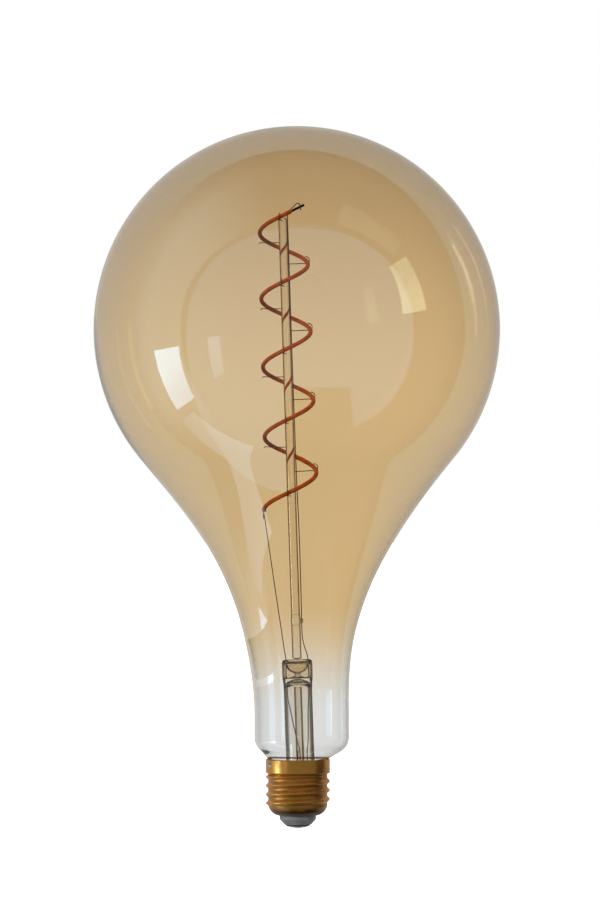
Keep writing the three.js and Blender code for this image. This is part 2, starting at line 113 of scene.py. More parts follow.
def walled(outline, wall):
    """A wall of even thickness inside an outline that runs upwards: down its inside, then up."""
    inside = []
    for index, spot in enumerate(outline):
        before = outline[index - 1] if index else spot - Vector((0, 1))
        last = index == len(outline) - 1
        level = Vector((-before.x, before.y)) if spot.x < ON_AXIS else spot + Vector((0, 1))
        along = ((level if last else outline[index + 1]) - before).normalized()
        inside.append(Vector((spot.x - along.y * wall, spot.y + along.x * wall)))
    return inside[::-1] + list(outline)


def smoothstep(value, low, high):
    """Nought below low, one above high, and a soft step between them."""
    share = min(max((value - low) / (high - low), 0), 1)
    return share * share * (3 - 2 * share)


print(f"a quarter circle of radius 2 ends at {arc((0, 0), 2, 0, math.pi / 2)[-1].y:.1f}")

# %% [markdown]
# A turned body shares its points between neighbouring faces, so that it shades as one surface. A
# point on the axis becomes a single pole. An outline that doesn't start on the axis is closed back
# to its first point, as the section of a ring is.

# %% Turn an outline round the axis


def turned(outline, segments=96):
    """Points and faces of a body of revolution; its outline runs up the outside."""
    points, rings, faces = [], [], []
    for radius, height in outline:
        turns = segments if radius > ON_AXIS else 1
        rings.append([len(points) + i for i in range(turns)])
        for i in range(turns):
            angle = 2 * math.pi * i / segments
            points.append(Vector((radius * math.cos(angle), radius * math.sin(angle), height)))
    if len(rings[0]) > 1:
        rings.append(rings[0])
    for low, high in zip(rings, rings[1:]):
        for i in range(segments):
            j = (i + 1) % segments
            corners = [low[i % len(low)], low[j % len(low)], high[j % len(high)], high[i % len(high)]]
            face = list(dict.fromkeys(corners))
            if len(face) > 2:
                faces.append(face)
    return points, faces


print(f"a test disc has {len(turned([(0, 0), (5, 0), (5, 1), (0, 1)], 24)[1])} faces")

# %% [markdown]
# A drawn wire needs a frame that travels with it. Carrying the last frame along and leaning it only
# as much as the route bends keeps the section from twisting. Where the section is flat, a direction
# for its wide face can be given instead. Each end gets a small dome, as a cut wire never has a
# perfectly sharp end.

# %% Draw a section along a route


def route(*spots, spacing=0.5):
    """A smooth line through spots, with a point about every spacing millimetres."""
    spots = [Vector(s) for s in spots]
    line = [spots[0]]
    padded = [spots[0] * 2 - spots[1], *spots, spots[-1] * 2 - spots[-2]]
    for a, b, c, d in zip(padded, padded[1:], padded[2:], padded[3:]):
        steps = max(2, round((c - b).length / spacing))
        reach = (c - b).length
        start_pull = (c - a).normalized() * reach / 3
        end_pull = (d - b).normalized() * reach / 3
        line += bezier(b, b + start_pull, c - end_pull, c, count=steps)[1:]
    return line


def swept(line, radius, sides=12, thickness=None, facing=None):
    """Points and faces of a closed tube; radius may be a list, and thickness makes it flat."""
    radii = radius if isinstance(radius, list) else [radius] * len(line)
    flat = thickness / radii[0] if thickness else 1
    tangents = [(b - a).normalized() for a, b in zip([line[0], *line], [*line[1:], line[-1]])]
    side = tangents[0].orthogonal().normalized()
    sections = []
    for spot, along, size in zip(line, tangents, radii):
        reference = facing(spot) if facing else side
        side = (reference - along * reference.dot(along)).normalized()
        sections.append((spot, along, side, size))
    first, last = sections[0], sections[-1]
    dome = [(0.45, 0.85), (0.8, 0.5)]
    start = [(first[0] - first[1] * first[3] * out * flat, *first[1:3], first[3] * s) for out, s in dome]
    end = [(last[0] + last[1] * last[3] * out * flat, *last[1:3], last[3] * s) for out, s in dome]
    points, faces = [], []
    for spot, along, side, size in [*start[::-1], *sections, *end]:
        across = along.cross(side)
        for i in range(sides):
            angle = 2 * math.pi * i / sides
            points.append(spot + side * size * flat * math.cos(angle) + across * size * math.sin(angle))
    rows = len(points) // sides
    for row in range(rows - 1):
        for i in range(sides):
            j = (i + 1) % sides
            low, high = row * sides, (row + 1) * sides
            faces.append([low + i, low + j, high + j, high + i])
    faces.append(list(range(sides))[::-1])
    faces.append([(rows - 1) * sides + i for i in range(sides)])
    return points, faces


print(f"a test route has {len(route((0, 0, 0), (5, 0, 0), (5, 5, 0)))} points")

# %% [markdown]
# Every piece goes through one function. It makes the mesh, gives it its finish, lets it ride on the lamp's
# only body, and hides the imported nodes it stands for.

# %% Add a piece
MM = 0.001


def add_piece(name, shape, finish, stands_for=(), place=None):
    """Makes one piece from a shape in millimetres, and hides the imported nodes it stands for."""
    points, faces = shape
    mesh = bpy.data.meshes.new(name)
    mesh.from_pydata([Vector(p) * MM for p in points], [], faces)
    if place is not None:
        mesh.transform(place)
    mesh.polygons.foreach_set("use_smooth", [True] * len(mesh.polygons))
    mesh.materials.append(finish.material)
    piece = bpy.data.objects.new(name, mesh)
    scene.collection.objects.link(piece)
    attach(piece, "root")
    if stands_for:
        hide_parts(*stands_for)
    return piece


def joined(*shapes):
    """Several shapes as one, each with its own points."""
    points, faces = [], []
    for more_points, more_faces in shapes:
        faces += [[corner + len(points) for corner in face] for face in more_faces]
        points += more_points
    return points, faces


print(f"shapes are made in units of {MM} m")

# %% [markdown]
# ## Writing finishes as formulas
# A procedural finish is a sum: a base colour, plus something that varies with the place on the
# piece. Drawn as a graph it is hard to read, so each socket is wrapped in a small class that knows
# plus, minus, times and powers. An expression such as `1 - mask * 0.3` then adds its own Math nodes.

# %% Wrap a socket


class Value:
    """The output of a node, ready for arithmetic."""

    def __init__(self, tree, socket):
        self.tree, self.socket = tree, socket

    def maths(self, operation, first, second):
        return self.tree.node("Math", {"operation": operation}, {0: first, 1: second})

    def __add__(self, other):
        return self.maths("ADD", self, other)

    def __radd__(self, other):
        return self.maths("ADD", other, self)

    def __sub__(self, other):
        return self.maths("SUBTRACT", self, other)

    def __rsub__(self, other):
        return self.maths("SUBTRACT", other, self)

    def __mul__(self, other):
        return self.maths("MULTIPLY", self, other)

    def __rmul__(self, other):
        return self.maths("MULTIPLY", other, self)

    def __pow__(self, other):
        return self.maths("POWER", self, other)


print("sockets can stand in formulas")

# %% [markdown]
# The nodes themselves all come from one method, which takes a node's type, its settings and what
# goes into its sockets. Settings are made first, because some of them decide which sockets there
# are. Colours don't go through Math nodes, which would turn them grey, but through Mix.

# %% Build a tree of nodes


class Tree:
    """The nodes of a material or of the world."""

    def __init__(self, owner):
        owner.use_nodes = True
        self.nodes = owner.node_tree.nodes
        self.links = owner.node_tree.links

    def feed(self, socket, value):
        if isinstance(value, Value):
            self.links.new(value.socket, socket)
        elif isinstance(value, tuple) and socket.type == "RGBA":
            socket.default_value = (*value, 1)
        else:
            socket.default_value = value

    def node(self, kind, settings=None, sockets=None, output=0):
        made = self.nodes.new("ShaderNode" + kind)
        for key, setting in (settings or {}).items():
            setattr(made, key, setting)
        for key, value in (sockets or {}).items():
            self.feed(made.inputs[key], value)
        return Value(self, made.outputs[output])

    def axes(self, coordinates):
        """The three parts of a vector."""
        made = self.node("SeparateXYZ", sockets={0: coordinates})
        outputs = made.socket.node.outputs
        return [Value(self, outputs[axis]) for axis in "XYZ"]

    def ramp(self, value, low, high, start=0.0, end=1.0):
        """A smooth step from start to end as value goes from low to high."""
        settings = {"interpolation_type": "SMOOTHSTEP"}
        return self.node("MapRange", settings, {0: value, 1: low, 2: high, 3: start, 4: end})

    def mix(self, share, first, second):
        """A colour between two colours."""
        return self.node("Mix", {"data_type": "RGBA"}, {0: share, 6: first, 7: second}, output=2)


print("trees of nodes can be built")

# %% [markdown]
# A finish is such a tree round one Principled shader. What is the same all over the piece is set on
# the shader's own sockets, and what varies is linked. Places are read in the object's own
# coordinates, so a pattern stays on its piece. Lamplight needs one more thing: glass would throw a
# hard, dark shadow, as the renderer doesn't bend the light of a lamp through it, so shadow rays are
# let through with a tint.

# %% Make a finish


class Finish(Tree):
    """A material round one Principled shader, with its constants set on its own sockets."""

    def __init__(self, name, **constants):
        self.material = bpy.data.materials.new(name)
        super().__init__(self.material)
        self.shader = self.nodes["Principled BSDF"]
        for socket, value in constants.items():
            self.feed(self.shader.inputs[socket.replace("_", " ")], value)
        self.place = self.node("TexCoord", output="Object")

    def vary(self, **sockets):
        for socket, value in sockets.items():
            self.feed(self.shader.inputs[socket.replace("_", " ")], value)
        return self

    def noise(self, size, detail=3.0, stretch=(1, 1, 1)):
        """Noise from 0 to 1 with features about size millimetres across."""
        scale = tuple(part / (size * MM) for part in stretch)
        spread = self.node("Mapping", sockets={"Vector": self.place, "Scale": scale})
        return self.node("TexNoise", sockets={"Vector": spread, "Scale": 1.0, "Detail": detail})

    def bump(self, height, depth, strength=1.0):
        """A normal from a height between 0 and 1 that stands for depth millimetres."""
        sockets = {"Height": height, "Distance": depth * MM, "Strength": strength}
        return self.node("Bump", sockets=sockets)

    def height(self):
        """How high a place is on the lamp, in millimetres."""
        return self.axes(self.place)[2] * 1000


def let_light_in(finish, tint):
    """Lets lamplight through glass, tinted, where light paths alone would leave a hard shadow."""
    is_shadow = finish.node("LightPath", output="Is Shadow Ray")
    clear = finish.node("BsdfTransparent", sockets={"Color": tint})
    glass = Value(finish, finish.shader.outputs["BSDF"])
    mixed = finish.node("MixShader", sockets={0: is_shadow, 1: glass, 2: clear})
    finish.feed(finish.nodes["Material Output"].inputs["Surface"], mixed)


print("helpers for finishes are ready")

# %% [markdown]
# ## Glass
# The envelope is clear glass with a thin amber coating, sprayed or baked on the inside. It is even
# over the globe and thins out down the neck, where the glass ends up colourless. A tint on the
# shader of real glass gives that: light picks it up once for each wall. The height on the lamp
# drives how much coating there is, and a little noise breaks up the edge of the fade, because no
# coating ends on a ruled line. Towards the crown the tint deepens. A very shallow bump keeps the
# hand-blown waviness in reflections.

# %% Amber and clear glass
AMBER = (0.93, 0.775, 0.535)
DEEP_AMBER = (0.79, 0.645, 0.44)
CLEAR = (0.985, 0.985, 0.97)
COAT_ENDS, COAT_FULL = 44.0, 92.0
CROWN_STARTS, CROWN_ENDS = 165, 285
AMBER_SHADE = (0.90, 0.80, 0.66)

amber_glass = Finish("amber_glass", Transmission_Weight=1.0, IOR=1.47, Roughness=0.0)
wobble = amber_glass.noise(30, stretch=(1, 1, 0.4)) * 8 - 4
coating = amber_glass.ramp(amber_glass.height() + wobble, COAT_ENDS, COAT_FULL)
crown = amber_glass.ramp(amber_glass.height(), CROWN_STARTS, CROWN_ENDS)
amber = amber_glass.mix(crown, AMBER, DEEP_AMBER)
waviness = amber_glass.noise(60, detail=1.0)
amber_glass.vary(Base_Color=amber_glass.mix(coating, CLEAR, amber), Normal=amber_glass.bump(waviness, 0.25))

let_light_in(amber_glass, AMBER_SHADE)
print(f"the coating fades out between {COAT_FULL:.0f} and {COAT_ENDS:.0f} mm")

# %% [markdown]
# The stem is plain glass, drawn into tubes and rods. Its edges are painted dark brown with some metal gloss:
# a painted reflection of the amber globe that the glass mirrors where it is seen edge on. A Layer Weight
# node finds those edges: a rod gets broad ones, a thin tube narrow ones. Sealing the wires in also leaves a
# brown tinge in the press, so that finish takes a second colour from a given height up.

# %% Drawn glass
STEM_GLASS, PRESS_GLASS = (0.95, 0.915, 0.86), (0.93, 0.86, 0.74)
# A dark brown for the edges of the glass: a painted reflection.
EDGE_REFLECTION_BROWN = (0.21, 0.10, 0.042)
GLASS_SHADE = (0.85, 0.85, 0.84)
TINGE_STARTS, TINGE_FULL = 55, 61


def drawn_glass(name, edge_from, edge_to, upper_colour):
    """Clear glass with edges painted dark brown as a painted reflection, and another colour above the foot
    of the press.
    """
    finish = Finish(name, Transmission_Weight=1.0, IOR=1.5, Roughness=0.0)
    facing = finish.node("LayerWeight", sockets={"Blend": 0.5}, output="Facing")
    edge = finish.ramp(facing, edge_from, edge_to)
    upper = finish.ramp(finish.height(), TINGE_STARTS, TINGE_FULL)
    body = finish.mix(upper, STEM_GLASS, upper_colour)
    lines = finish.noise(3, detail=2.0, stretch=(1, 1, 0.03))
    # The brown base colour and the metal gloss at the edges are a painted reflection.
    finish.vary(
        Base_Color=finish.mix(edge, body, EDGE_REFLECTION_BROWN),
        Metallic=edge * 0.5,
        Normal=finish.bump(lines, 0.04),
    )
    let_light_in(finish, GLASS_SHADE)
    return finish


stem_glass = drawn_glass("stem_glass", 0.30, 0.72, PRESS_GLASS)
rod_glass = drawn_glass("rod_glass", 0.12, 0.55, STEM_GLASS)
print("two kinds of drawn glass")

# %% [markdown]
# ## Metal
# The cap is stamped from thin brass and rolled over a threaded former. Rolling polishes the crests, and the
# whole cap tarnishes to a deep gold. Its roughness follows the distance from the axis, and so does its
# colour, which is a painted highlight on the crests and painted shade in the roots. There are blotches of
# tarnish and fine lines that run round it, and the dish is painted darker towards its bottom, as painted
# shade. Wires, tabs and solder are simpler: grey metal with drawing marks or a dull skin.

# %% Brass, wire and solder
ROOT_RADIUS, CREST_RADIUS = 12.05, 13.1
# Root and crest colours: painted shade in the thread roots, painted highlight on the crests.
SHADED_ROOT_GOLD, LIT_CREST_GOLD = (0.50, 0.175, 0.026), (0.69, 0.255, 0.040)
# The second of these colours is painted shade for the dish.
TARNISHED, SHADED_DISH_COLOUR = (0.30, 0.12, 0.022), (0.07, 0.028, 0.008)
DISH_SHADE_FULL, DISH_SHADE_ENDS = 7.0, 8.6

brass = Finish("cap_brass")
x, y = brass.axes(brass.place)[:2]
radius = ((x * x + y * y) ** 0.5) * 1000
# The colour that follows this share is painted light; the lower roughness on the crests is their real
# polish.
crest_share = brass.ramp(radius, ROOT_RADIUS - 0.2, CREST_RADIUS)
tarnish = brass.ramp(brass.noise(5, detail=5.0), 0.42, 0.68)
gold = brass.mix(crest_share, SHADED_ROOT_GOLD, LIT_CREST_GOLD)
# Painted shade: the dish and the contact below it darken towards the bottom.
dish_shade = brass.ramp(brass.height() + tarnish * 0.5, DISH_SHADE_FULL, DISH_SHADE_ENDS, 0.85, 0.0)
rolling_lines = brass.noise(0.5, detail=2.0, stretch=(0.06, 0.06, 1))
brass.vary(
    Base_Color=brass.mix(dish_shade, brass.mix(tarnish * 0.5, gold, TARNISHED), SHADED_DISH_COLOUR),
    Metallic=0.90 - tarnish * 0.16,
    Roughness=0.30 - crest_share * 0.05 + tarnish * 0.1,
    Normal=brass.bump(rolling_lines, 0.02, strength=0.5),
)


def metal(name, colour, dull, roughness, grain):
    """Grey metal whose colour and gloss vary over grains of a size in millimetres."""
    finish = Finish(name, Metallic=1.0)
    patches = finish.noise(grain, detail=4.0)
    return finish.vary(
        Base_Color=finish.mix(patches, colour, dull),
        Roughness=roughness + patches * 0.2,
        Normal=finish.bump(finish.noise(grain * 0.3), grain * 0.02),
    )


nickel_wire = metal("nickel_wire", (0.22, 0.165, 0.12), (0.10, 0.075, 0.055), 0.32, 1.5)
terminal_metal = metal("terminal_metal", (0.12, 0.095, 0.07), (0.035, 0.028, 0.022), 0.35, 0.8)
tin_solder = metal("tin_solder", (0.55, 0.54, 0.51), (0.24, 0.23, 0.21), 0.3, 0.9)
copper_wire = metal("copper_wire", (0.62, 0.30, 0.17), (0.36, 0.15, 0.08), 0.3, 1.2)
shield_metal = metal("shield_metal", (0.62, 0.62, 0.60), (0.42, 0.42, 0.41), 0.3, 2.0)
print(f"{len(bpy.data.materials)} finishes so far")

# %% [markdown]
# ## Soft and moulded finishes
# The filament is a flexible strip of LED chips under a round coat of silicone, coloured orange by its
# phosphor. Cold, it looks like a rubber cord: matt, a little glossy along the top, and faintly mottled. The
# insulator is moulded, and its grey is painted shade: darker than the pale moulding, as it faces down, away
# from the light. The cement is chalky, and the boards carry a green mask. All are one recipe: two close
# colours mixed by noise, and a grain in the surface.

# %% Silicone, mouldings and boards


def moulded(name, colour, second, size, roughness, grain, depth, **constants):
    """A plain finish mottled between two colours, with a grain in its surface."""
    finish = Finish(name, **constants)
    mottle = finish.ramp(finish.noise(size, detail=4.0), 0.35, 0.65)
    return finish.vary(
        Base_Color=finish.mix(mottle, colour, second),
        Roughness=roughness + mottle * 0.08,
        Normal=finish.bump(finish.noise(grain), depth),
    )


silicone = moulded(
    "filament_silicone", (0.46, 0.110, 0.001), (0.33, 0.074, 0.0005), 2.5, 0.42, 0.5, 0.015,
    Specular_IOR_Level=0.15,
)
carrier = moulded("carrier_strip", (0.70, 0.58, 0.30), (0.55, 0.44, 0.2), 1.5, 0.45, 0.4, 0.01)
# The insulator's dark grey is painted shade; the moulding itself is paler.
insulator = moulded("insulator", (0.215, 0.203, 0.198), (0.17, 0.16, 0.157), 3.0, 0.38, 0.6, 0.02)
cement = moulded("cement", (0.62, 0.57, 0.48), (0.45, 0.40, 0.32), 1.5, 0.85, 0.4, 0.12)
board_mask = moulded("circuit_board", (0.02, 0.16, 0.07), (0.015, 0.10, 0.045), 2.0, 0.4, 0.6, 0.02)
black_epoxy = moulded("black_plastic", (0.02, 0.02, 0.021), (0.035, 0.035, 0.035), 0.8, 0.45, 0.25, 0.02)
sleeve = moulded("sleeve", (0.012, 0.015, 0.03), (0.02, 0.024, 0.045), 4.0, 0.3, 1.5, 0.02)
ferrite = moulded("ferrite", (0.06, 0.06, 0.062), (0.035, 0.034, 0.033), 0.6, 0.7, 0.3, 0.05)
lacquer = moulded("resistor_body", (0.24, 0.36, 0.29), (0.18, 0.29, 0.23), 1.2, 0.4, 0.5, 0.03)
print(f"{len(bpy.data.materials)} finishes in all")

# %% [markdown]
# ## The envelope
# The glass is blown: a sphere that draws down into a long neck, rounds in above the cap and goes
# down inside it. Its outline is one arc, one long curve that leaves the sphere at a tangent, and a
# rounded shoulder. The wall is real, an outer and an inner skin, because glass bends light at both.
# Hand-worked glass never runs true, so its axis wanders a little with height.

# %% Blow the envelope
GLASS_WALL = 1.0
GLOBE_RADIUS, GLOBE_CENTRE, GLOBE_DROP = 82.5, 202.4, 0.693
NECK_RADIUS, NECK_TOP, SHOULDER = 19.24, 46.8, 37.0
DRIFT = [(27, 32, 1.6), (44, 80, -1.0), (110, 150, -1.0)]


def drift(height):
    """How far the axis has wandered sideways at a height."""
    return sum(by * smoothstep(height, low, high) for low, high, by in DRIFT)


def envelope_outline():
    turn = Vector((math.sin(GLOBE_DROP), math.cos(GLOBE_DROP)))
    globe = arc((0, GLOBE_CENTRE), GLOBE_RADIUS, -GLOBE_DROP, math.pi / 2, count=90)
    globe[-1].x = 0
    mouth = (13.35, 28.7)
    foot = bezier((11, 26.2), (11, 27.4), mouth, count=10)
    shoulder = bezier(mouth, (16.2, 31.2), (NECK_RADIUS, 32.5), (NECK_RADIUS, SHOULDER), count=20)
    sweep = [(NECK_RADIUS, NECK_TOP), (NECK_RADIUS, NECK_TOP + 47), globe[0] - turn * 39.7, globe[0]]
    neck = bezier(*sweep, count=60)
    return [Vector((11, 23.2)), *foot, *shoulder[1:], *neck[:-1], *globe]


points, faces = turned(walled(envelope_outline(), GLASS_WALL), segments=180)
for point in points:
    point.x += drift(point.z)
add_piece("blown_envelope", (points, faces), amber_glass, ["envelope"])
print(f"the envelope has {len(faces)} faces")

# %% [markdown]
# ## The stem
# Flare and press are one piece of glass on the real lamp: a tube whose bell is sealed to the neck,
# and whose top is pinched shut over the two lead wires. Inside the pinch the glass gathers into a
# bowl with a narrow waist and leaves a clear space round it. The whole stem leans slightly in the
# neck, so it is made upright and then set at its lean. The rod above is three lengths fused end to
# end: a stub, a splice that bulges a little, and the long rod itself.

# %% Make the stem's glass
LEAN, FOOT_X = 0.0325, 1.9
IN_STEM = Matrix.Translation((FOOT_X * MM, 0, 0)) @ Matrix.Rotation(-LEAN, 4, "Y")
FLARE_RADIUS, FLARE_WALL = 5.75, 0.75
PRESS_FLATNESS = 0.62
PINCH_STARTS, PINCH_FULL = 57.5, 63


def stem_outline():
    """The flare with its bell, up to the closed crown of the press."""
    bell = bezier((10.1, 21.8), (6.9, 22.4), (FLARE_RADIUS, 25), (FLARE_RADIUS, 30), count=16)
    tube = [(FLARE_RADIUS, 56), (5.85, 58.4), (6.15, 61), (6.2, 66)]
    crown = rounded([(6.2, 66), (6.1, 68.4), (3.0, 68.5), (0, 68.4)], 2.2, steps=8)
    under = rounded([(0, 60.1), (1.6, 60.0), (3.4, 59.1), (4.7, 57.9), (5.0, 56)], 1.2, steps=5)
    bore = [Vector((p.x - FLARE_WALL, p.y)) for p in bell]
    outside = [*bell, *[Vector(p) for p in tube], *crown[1:]]
    return [*under, Vector((5.0, 31)), *bore[::-1], *outside]


def press_hollow():
    """The clear space round the waisted bowl of glass in the press, as a ring's section."""
    side = [(5.3, 60.6), (5.5, 63), (5.4, 66.2), (4.9, 67.1)]
    bowl = [(4.5, 66.9), (4.35, 65.4), (3.5, 63.9), (2.3, 63.0), (1.3, 62.6)]
    waist = [(1.05, 62.1), (1.5, 61.6), (4, 60.7)]
    outline = rounded([*bowl, *waist, *side][::-1], 0.8)
    return turned([Vector(p) for p in outline], segments=72)


def pinched(shape):
    """A shape flattened from front to back above the foot of the press."""
    points, faces = shape
    for point in points:
        point.y *= 1 + (PRESS_FLATNESS - 1) * smoothstep(point.z, PINCH_STARTS, PINCH_FULL)
    return points, faces


stem_body = joined(pinched(turned(stem_outline(), segments=96)), pinched(press_hollow()))
stem_nodes = ["stem_flare", "stem_press"]
add_piece("flare_and_press", stem_body, stem_glass, stem_nodes, IN_STEM)

exhaust = [(0, 15), (0.9, 15.1), (1.45, 15.9), (1.6, 17.2), (1.6, 57.7), (1.0, 57.7), (1.0, 17.2), (0, 16.3)]
stub = [(0, 68.6), (1.2, 68.7), (2.0, 69.2), (1.95, 69.8), (1.87, 70.4), (1.87, 82.42), (0, 82.42)]
splice = [(0, 82.44), (1.87, 82.44), (1.97, 83.6), (1.95, 85.4), (1.8, 86.7), (0, 86.7)]
rod = [(0, 86.72), (1.8, 86.72), (1.8, 247.2), (1.3, 247.8), (0, 247.8)]
glass_lengths = {"exhaust_tube": exhaust, "rod_stub": stub, "rod_splice": splice, "support_rod": rod}
for node, outline in glass_lengths.items():
    shape = turned(rounded(outline, 0.15), segments=64)
    finish = stem_glass if node == "exhaust_tube" else rod_glass
    add_piece("glass_" + node, shape, finish, [node], IN_STEM)
print(f"the stem leans {math.degrees(LEAN):.1f} degrees")

# %% [markdown]
# ## The filament
# One flexible filament is wound round the rod in a right-handed helix of a little over four turns,
# opening slightly as it goes down. A helix is a formula, so its points come from a loop over turns:
# the count is zero where the filament is furthest left for the first time and grows downwards. The
# carrier strip runs through the middle of the silicone, flat side to the rod.

# %% Wind the filament
TOP_TURN, END_TURN = -0.305, 4.0
JACKET_RADIUS = 0.85
HELIX_RADIUS, OPENING, LAST_OPENING = 9.5, 0.243, 0.93
HELIX_TOP, HELIX_PITCH, PITCH_GROWTH = 241.9, 26.37, 0.425
STRIP_HALF_WIDTH, STRIP_HALF_DEPTH = 0.45, 0.12


def on_helix(turn):
    angle = math.pi * (1 - 2 * turn)
    radius = HELIX_RADIUS + OPENING * turn + LAST_OPENING * smoothstep(turn, 3.5, END_TURN)
    height = HELIX_TOP - HELIX_PITCH * turn - PITCH_GROWTH * turn * turn
    return Vector((radius * math.cos(angle), radius * math.sin(angle), height))


def outward(spot):
    return Vector((spot.x, spot.y, 0)).normalized()


turns = [TOP_TURN + (END_TURN - TOP_TURN) * step / 420 for step in range(421)]
helix = [on_helix(turn) for turn in turns]
jacket = swept(helix, JACKET_RADIUS, sides=20, facing=outward)
add_piece("filament_coat", jacket, silicone, ["filament_jacket"], IN_STEM)
strip = swept(helix, STRIP_HALF_WIDTH, sides=8, thickness=STRIP_HALF_DEPTH, facing=outward)
add_piece("filament_carrier", strip, carrier, ["filament_strip"], IN_STEM)
length = sum((b - a).length for a, b in zip(helix, helix[1:]))
print(f"the filament is {length:.0f} mm long")

# %% [markdown]
# Each end of the strip carries a flat metal tab, and each tab is welded to a lead wire. The upper
# tab runs on along the filament, and the lower one hangs down.

# %% Add the end tabs
climb = (helix[0] - helix[1]).normalized()
upper = [helix[0] + climb * step for step in (-0.4, 1.5, 3.5, 5.0, 6.3)]
upper_tab = swept(route(*upper, spacing=1.0), 0.52, sides=10, thickness=0.34, facing=outward)
add_piece("tab_upper", upper_tab, terminal_metal, ["filament_terminal_top"], IN_STEM)

foot = helix[-1]
steps = [(0, -0.3, 0.1), (-0.1, 0.5, -0.4), (-0.2, 0.9, -1.2), (-0.35, 1, -3.4)]
lower = [foot + Vector(step) for step in steps]
lower_tab = swept(route(*lower, spacing=0.4), 0.34, sides=10, thickness=0.2, facing=outward)
add_piece("tab_lower", lower_tab, terminal_metal, ["filament_terminal_bottom"], IN_STEM)
print(f"the upper tab ends {upper[-1].z:.1f} mm up the stem")

# %% [markdown]
# ## Hooks and lead wires
# Thirteen fine hooks, three to a turn, are fused into the rod. Each runs out under the filament.
# Most then curl up round the outside of it, and the ones on the left run on into a short tail
# instead. One loop makes them all.

# %% Bend the hooks
HOOK_COUNT, HOOKS_PER_TURN, FIRST_HOOK = 13, 3, -0.23
HOOK_WIRE, HOOK_LOOP = 0.17, 1.6


def hook_route(turn):
    """A hook's line from inside the rod to its curl or tail, at a count of turns."""
    centre = on_helix(turn)
    out = outward(centre)
    up = Vector((0, 0, 1))
    shank = [out * 1.5 + up * (centre.z - 1.3), centre - out * 3 - up * 1.2, centre - out * 0.9 - up * 1.15]
    curl = []
    for step in range(7):
        angle = -math.pi / 2.6 + step * math.pi / 6.5
        curl.append(centre + out * HOOK_LOOP * math.cos(angle) + up * HOOK_LOOP * math.sin(angle))
    tail = [centre + out * 2.6 - up * 0.9, centre + out * 3.0 - up * 1.3] if out.x < -0.5 else []
    return route(*shank, *(tail or curl), spacing=0.3)


for index in range(HOOK_COUNT):
    bend = hook_route(FIRST_HOOK + index / HOOKS_PER_TURN)
    name = f"hook_{index + 1:02d}"
    add_piece("wire_" + name, swept(bend, HOOK_WIRE, sides=8), nickel_wire, [name], IN_STEM)
print(f"{HOOK_COUNT} hooks, {len(bend)} points each")

# %% [markdown]
# The lead wires are routes through a few given points: the long one climbs beside the rod and arches over to
# the upper tab, and the short one runs straight up to the lower tab. In the press a thicker sealing wire
# joins each to the lead that goes down into the cap. A bead of glass at the splice keeps the long wire at
# the rod.

# %% Route the lead wires
WIRE, SEAL_WIRE = 0.19, 0.24
LEAD_X = 4.5

long_press = [(LEAD_X, 0, 66), (LEAD_X, 0, 68.4), (3.95, 0, 71.2), (3.0, -0.15, 74.4), (2.45, -0.3, 78)]
long_side = [(2.4, -0.35, 84.3), (2.5, -0.35, 95), (2.55, -0.3, 120), (2.2, -0.3, 145), (2.0, -0.35, 200)]
long_top = [(1.98, -0.4, 243), (1.9, -1.4, 247.6), (2.3, -3.3, 249.5), (3.7, -5.2, 251.3)]
long_hook = [(6.2, -7.1, 253.3), (6.8, -7.9, 253.1), (7.2, -8.1, 252.2), (7.4, -8.2, 250.6)]
short_press = [(-LEAD_X, 0, 66), (-LEAD_X, 0, 68.4), (-5.2, 0.05, 74)]
short_side = [(-6.5, 0.1, 85.3), (-6.62, 0.1, 86), (-11.4, 0.45, 127.9)]
left_out = [(-4.6, 0, 59), (-4.55, 0, 56.5), (-4, -0.6, 52), (-2.4, -1.8, 43), (-1, -2.3, 35.6)]
left_down = [(0, -2.3, 29.1), (-1.4, -1.9, 26.5), (-3.7, 0.4, 23.6), (-5.7, 2.5, 21.2)]
right_out = [(4.5, 0, 59), (4.45, 0, 56.5), (3.83, -0.2, 47.8), (3.44, -0.2, 35.6)]
right_down = [(2.83, 0.2, 29.1), (3.2, 1.3, 25), (3.6, 2.5, 21.2)]
leads = {
    "lead_wire_long": [*long_press, *long_side, *long_top, *long_hook],
    "lead_wire_short": [*short_press, *short_side],
    "lead_out_left": [*left_out, *left_down],
    "lead_out_right": [*right_out, *right_down],
}
for node, spots in leads.items():
    shape = swept(route(*spots), WIRE, sides=10)
    add_piece("drawn_" + node, shape, nickel_wire, [node], IN_STEM)
for side, x_place in (("left", -LEAD_X), ("right", LEAD_X)):
    shape = swept(route((x_place, 0, 58.8), (x_place, 0, 66.2)), SEAL_WIRE, sides=10)
    node = "seal_wire_" + side
    add_piece("sealed_" + node, shape, copper_wire, [node], IN_STEM)
bead = rounded([(0.25, 83.4), (0.55, 83.3), (0.62, 84.3), (0.55, 85.2), (0.25, 85.1)], 0.3)
clip_place = IN_STEM @ Matrix.Translation((2.45 * MM, -0.35 * MM, 0))
add_piece("glass_bead", turned(bead, segments=32), stem_glass, ["wire_clip"], clip_place)
print(f"{len(leads)} lead wires and two sealing wires")

# %% [markdown]
# ## The screw cap
# The shell is one sheet of brass: a plain band at the rim, a rolled right-handed thread and a dished
# floor with a hole for the insulator. It is turned with many rows, and the thread is then added to
# each point's radius: the wave depends on the height less a share of the pitch for the angle, which
# is all that makes a helix. The thread fades in and out, as a rolled one does.

# %% Roll the cap
PITCH, THREAD_DEPTH, CREST_HEIGHT = 3.63, 1.05, 18.94
THREAD_START, THREAD_END = 8.9, 21.9
RIM, BAND = 27.9, 22.3
SHEET = 0.28


def thread_height(angle, height):
    """How far the thread lifts the shell from its root at a place."""
    turns = (height - CREST_HEIGHT) / PITCH - angle / (2 * math.pi)
    wave = (0.5 + 0.5 * math.cos(2 * math.pi * turns)) ** 1.5
    run_in = smoothstep(height, THREAD_START - 0.3, THREAD_START + 1)
    run_out = 1 - smoothstep(height, THREAD_END - 1, THREAD_END)
    return THREAD_DEPTH * wave * run_in * run_out


